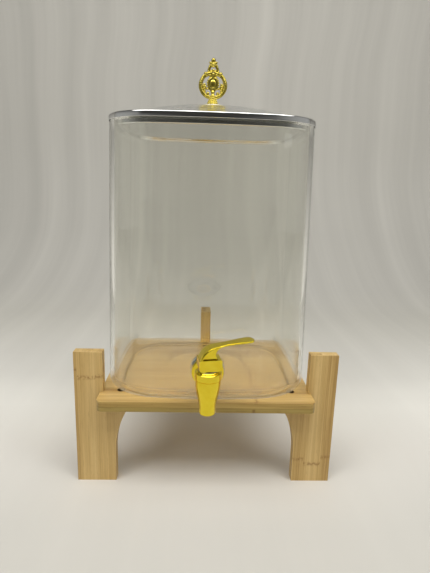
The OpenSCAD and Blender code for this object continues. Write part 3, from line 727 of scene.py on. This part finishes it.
def make_knob_beads():
    """Leaves, beads and oval stone of the knob, cast on both of its faces."""
    knob_low, knob_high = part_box("knob_finial")
    foot = Vector(((knob_low.x + knob_high.x) / 2, (knob_low.y + knob_high.y) / 2, knob_low.z))
    centre = foot + Vector((0, 0, KNOB_RING_Z))
    bm = bmesh.new()
    for side in (-1, 1):
        for x, z, r in KNOB_PEARLS:
            pearl(bm, centre + Vector((side * x, 0, z)) * MM, (r * MM, (r + 0.7) * MM, r * MM))
        leaf, thick = [], []
        for i in range(LEAF_STEPS + 1):
            a = math.radians(LEAF_TURN * (2 * i / LEAF_STEPS - 1))
            out = Vector((side * LEAF_ARC[0] * math.cos(a), 0, LEAF_ARC[1] * math.sin(a)))
            leaf.append(centre + out * MM)
            swell = max(math.sin(math.pi * i / LEAF_STEPS), 0.0) ** 0.6
            thick.append((0.7 + 1.5 * swell + 0.18 * math.sin(i * 1.9)) * MM)
        tube(bm, leaf, thick)
        pearl(bm, centre + Vector((0, side * 1.0, 1.4)) * MM, (3.5 * MM, 1.3 * MM, 4.3 * MM))
    for x, z, r in MIDDLE_PEARLS:
        pearl(bm, centre + Vector((x, 0, z)) * MM, (r * MM, (r + 0.5) * MM, r * MM))
    for i in range(FOOT_LEAVES):
        a = 2 * math.pi * (i + 0.5) / FOOT_LEAVES
        for r, z, w in FOOT_LEAF:
            out = Vector((r * math.cos(a), r * math.sin(a), z))
            pearl(bm, foot + out * MM, (w * MM, w * MM, 1.5 * w * MM))
    bmesh.ops.recalc_face_normals(bm, faces=bm.faces)
    mesh = bpy.data.meshes.new("knob_beads")
    bm.to_mesh(mesh)
    bm.free()
    for polygon in mesh.polygons:
        polygon.use_smooth = True
    beads = bpy.data.objects.new("knob_beads", mesh)
    bpy.context.scene.collection.objects.link(beads)
    mesh.materials.append(OWN_FINISH["knob_finial"])
    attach(beads, BODY_OF["knob_finial"])


make_jar()
make_lid_shell()
make_lid_pan()
make_gasket()
make_knob_beads()
REPLACED = ("glass_jar", "lid_shell", "lid_pan", "lid_gasket")
for part in NODES:
    if part not in REPLACED:
        finish_node(part)


# Stage

# Tones of the paper with painted light, brightest in a pool behind the object and greyed by painted
# shade towards the front and up the backdrop, from the floor in front up the backdrop: the y + z
# where they start, in metres, how far they run, and each tone with its share of that run
PAPER_START = -0.3
PAPER_RUN = 2.7
PAPER_TONES_AND_PAINTED_LIGHT = [(0.0, (200, 197, 190)), (0.06, (206, 204, 198)), (0.11, (221, 218, 212)),
               (0.15, (235, 233, 227)), (0.17, (233, 231, 225)), (0.19, (223, 221, 215)),
               (0.23, (212, 210, 204)), (0.28, (204, 202, 195)), (0.34, (198, 196, 189)),
               (0.41, (191, 189, 183)), (0.54, (187, 185, 179)), (0.70, (190, 188, 182)),
               (0.88, (186, 184, 178)), (1.0, (184, 182, 176))]
# Plain tone that the lens sees beyond the paper
PLAIN_TONE = (178, 175, 167)


def paper(name):
    """Matt paper with painted light: a pool of light on the floor behind the object, painted shade
    to the front, up the backdrop and to its left, and painted light and shade of faint folds that
    run upwards.

    Far from the object it fades to the plain tone, and its far front is dim in mirrors."""
    s = Shader(name)
    x, y, z = s.split(s.place())
    run = s.plus(y, z)
    tone = s.ramp(s.over(s.minus(run, PAPER_START), PAPER_RUN), linear_stops(PAPER_TONES_AND_PAINTED_LIGHT))
    # Painted light and shade of faint folds, stronger up the backdrop
    sway = s.swing(s.noise(s.stretched(s.place(), (0.8, 0.0, 1.6)), 1.0, 1.0), 0.12)
    folds = s.noise(s.join(s.times(s.plus(x, sway), 9.0), 0.0, s.times(z, 0.3)), 1.0, 4.0, 0.62)
    shade = s.swing(folds, s.level(run, 0.05, 0.9, 0.12, 0.52))
    # Painted shade to the left and painted light to the right, up the backdrop
    side = s.times(s.level(x, -1.0, 1.0, -0.06, 0.06), s.level(z, 0.0, 0.25))
    far_front = s.times(s.mirrored(), s.level(y, -0.66, -0.9, 0.0, 0.82))
    factor = s.minus(s.plus(s.plus(shade, side), 1.0), far_front)
    colour = s.add("VectorMath", {0: tone, "Scale": factor}, operation="SCALE").outputs[0]
    matt = s.add("BsdfPrincipled", {"Base Color": colour, "Roughness": 0.9,
                                    "Specular IOR Level": 0.2})
    plain = s.add("Emission", {0: rgba(PLAIN_TONE), 1: 1.0})
    far = s.math("MAXIMUM", s.level(s.math("ABSOLUTE", x), 1.3, 3.0), s.level(y, -1.3, -3.0))
    s.end(s.choose(s.times(far, s.straight()), matt, plain))
    return s.material


def make_sweep():
    """Floor that curves up into a backdrop behind the object."""
    half_w = 5.0
    front, back = -5.0, 1.1
    bend = 0.5
    height = 4.5
    bend_step = 6
    section = [(front, 0.0), (back - bend, 0.0)]
    turns = [math.radians(a) for a in range(bend_step, 91, bend_step)]
    section += [(back - bend + bend * math.sin(a), bend - bend * math.cos(a)) for a in turns]
    section += [(back, height)]
    points, faces = [], []
    for y, z in section:
        points += [Vector((-half_w, y, z)), Vector((half_w, y, z))]
    for k in range(len(section) - 1):
        a = 2 * k
        faces.append((a, a + 1, a + 3, a + 2))
    sweep = mesh_object("sweep", points, faces)
    sweep.data.materials.append(paper("paper"))


def area_light(name, place, size, power, colour, in_mirrors):
    lamp = bpy.data.lights.new(name, "AREA")
    lamp.shape = "RECTANGLE"
    lamp.size, lamp.size_y = size
    lamp.energy = power
    lamp.color = colour
    obj = bpy.data.objects.new(name, lamp)
    obj.location = place
    obj.rotation_euler = (Vector(LIT_MIDDLE) - Vector(place)).to_track_quat("-Z", "Y").to_euler()
    obj.visible_glossy = in_mirrors
    bpy.context.scene.collection.objects.link(obj)


def make_card(name, centre, turn, size, low_glow, top_glow):
    """Upright card with soft edges, a painted reflection that shows only once a mirror-like part
    has turned the ray.

    The lens and the lamps pass through it. Its glow runs from low_glow at its foot to top_glow."""
    w, h = size[0] / 2, size[1] / 2
    points = [Vector((x, 0, z)) for x, z in ((-w, -h), (w, -h), (w, h), (-w, h))]
    card = mesh_object(name, points, [(0, 1, 2, 3)])
    card.location = centre
    card.rotation_euler = (0.0, 0.0, math.radians(turn))
    s = Shader(name)
    x, _, z = s.split(s.place())
    inside_x = s.level(s.math("ABSOLUTE", x), w, 0.6 * w)
    inside_z = s.level(s.math("ABSOLUTE", z), h, 0.7 * h)
    inside = s.times(inside_x, inside_z)
    mottle = s.level(s.noise(s.place(), 6.0), 0.2, 0.8, 0.9, 1.1)
    glow = s.times(mottle, s.level(z, -h, h, low_glow, top_glow))
    painted_reflection_glow = s.add("Emission", {0: rgba((255, 251, 240)), 1: glow})
    s.end(s.choose(s.times(inside, s.mirrored()), s.add("BsdfTransparent"), painted_reflection_glow))
    card.data.materials.append(s.material)
    card.visible_camera = False
    card.visible_shadow = False
    card.visible_diffuse = False


# Lamps, all turned to LIT_MIDDLE: name, place, size, power, colour and whether mirrors show them
LIT_MIDDLE = (0.0, 0.0, 0.22)
LAMPS = [("top", (0.0, -0.75, 1.9), (3.0, 1.0), 45.5, (1.0, 0.985, 0.95), True),
         ("front_left", (-1.6, -1.5, 1.3), (0.8, 1.0), 5.0, (1.0, 1.0, 1.0), False),
         ("front_right", (1.6, -1.3, 1.1), (0.7, 1.0), 3.0, (1.0, 1.0, 1.0), False)]
# Cards of painted reflection, glowing or dark: name, centre, turn in degrees, size, and glow at the
# foot and at the top
CARDS = [("dark_card", (-0.43, -1.6, 1.02), 0, (2.2, 1.3), 0.035, 0.06),
         ("glow_left", (-0.85, 0.55, 0.20), 90, (1.1, 1.0), 1.05, 0.12),
         ("glow_right", (0.85, 0.55, 0.20), 90, (1.1, 1.0), 1.00, 0.06)]
# Brightness of the surroundings by how far to the side they are, from 0 in the middle to 1
ROOM_TONES = [(0.1, 0.06), (0.5, 0.30), (1.0, 0.60)]
ROOM_BLUE = 0.96
# Share of that brightness left in mirrors
IN_MIRRORS = 0.55


def make_lights():
    for lamp in LAMPS:
        area_light(*lamp)
    for card in CARDS:
        make_card(*card)
    make_room()


def make_room():
    """Soft grey surroundings: paler to the sides, and dimmer partway up except on the right.

    The lens sees them as one plain tone."""
    world = bpy.data.worlds.new("room")
    bpy.context.scene.world = world
    room = Graph(world, "OutputWorld")
    x, _, z = room.split(room.add("TexCoord").outputs["Generated"])
    tones = [(aside, (level, level, ROOM_BLUE * level, 1.0)) for aside, level in ROOM_TONES]
    tone = room.ramp(room.math("ABSOLUTE", x), tones)
    dim = room.times(room.level(z, 0.12, 0.4, 0.0, 0.75), room.level(x, 0.7, 0.1))
    dim = room.times(dim, room.level(z, 0.92, 0.7))
    less = room.times(room.mirrored(), 1.0 - IN_MIRRORS)
    strength = room.times(room.minus(1.0, dim), room.minus(1.0, less))
    around = room.add("Background", {0: tone, 1: strength})
    plain = room.add("Background", {0: rgba(PLAIN_TONE), 1: 1.0})
    room.end(room.choose(room.straight(), around, plain))


# Light is followed this often through and inside the glass
LIGHT_BOUNCES = 24


# Camera, fitted to the photograph (pixels of the 430 x 573 frame, lengths in metres)
PHOTO_LONG_SIDE = 573
FOCAL_PX = 430.3
CAMERA_PLACE = Vector((-10.0 * MM, -493.17 * MM, 315.2 * MM))
YAW, PITCH, ROLL = math.radians(2.13), math.radians(-12.27), math.radians(1.65)


def make_camera():
    data = bpy.data.cameras.new("camera")
    data.sensor_width = 36.0
    data.lens = FOCAL_PX / PHOTO_LONG_SIDE * data.sensor_width
    data.clip_start, data.clip_end = 0.01, 50.0
    level = math.cos(PITCH)
    forward = Vector((math.sin(YAW) * level, math.cos(YAW) * level, math.sin(PITCH)))
    right_0 = Vector((math.cos(YAW), -math.sin(YAW), 0.0))
    up_0 = right_0.cross(forward)
    right = math.cos(ROLL) * right_0 + math.sin(ROLL) * up_0
    up = -math.sin(ROLL) * right_0 + math.cos(ROLL) * up_0
    obj = bpy.data.objects.new("camera", data)
    turn = Matrix((right, up, -forward)).transposed().to_4x4()
    obj.matrix_world = Matrix.Translation(CAMERA_PLACE) @ turn
    bpy.context.scene.collection.objects.link(obj)
    bpy.context.scene.camera = obj


make_sweep()
make_lights()
make_camera()
bpy.context.scene.view_settings.view_transform = "Standard"
bpy.context.scene.cycles.max_bounces = LIGHT_BOUNCES
bpy.context.scene.cycles.glossy_bounces = LIGHT_BOUNCES
bpy.context.scene.cycles.transmission_bounces = LIGHT_BOUNCES
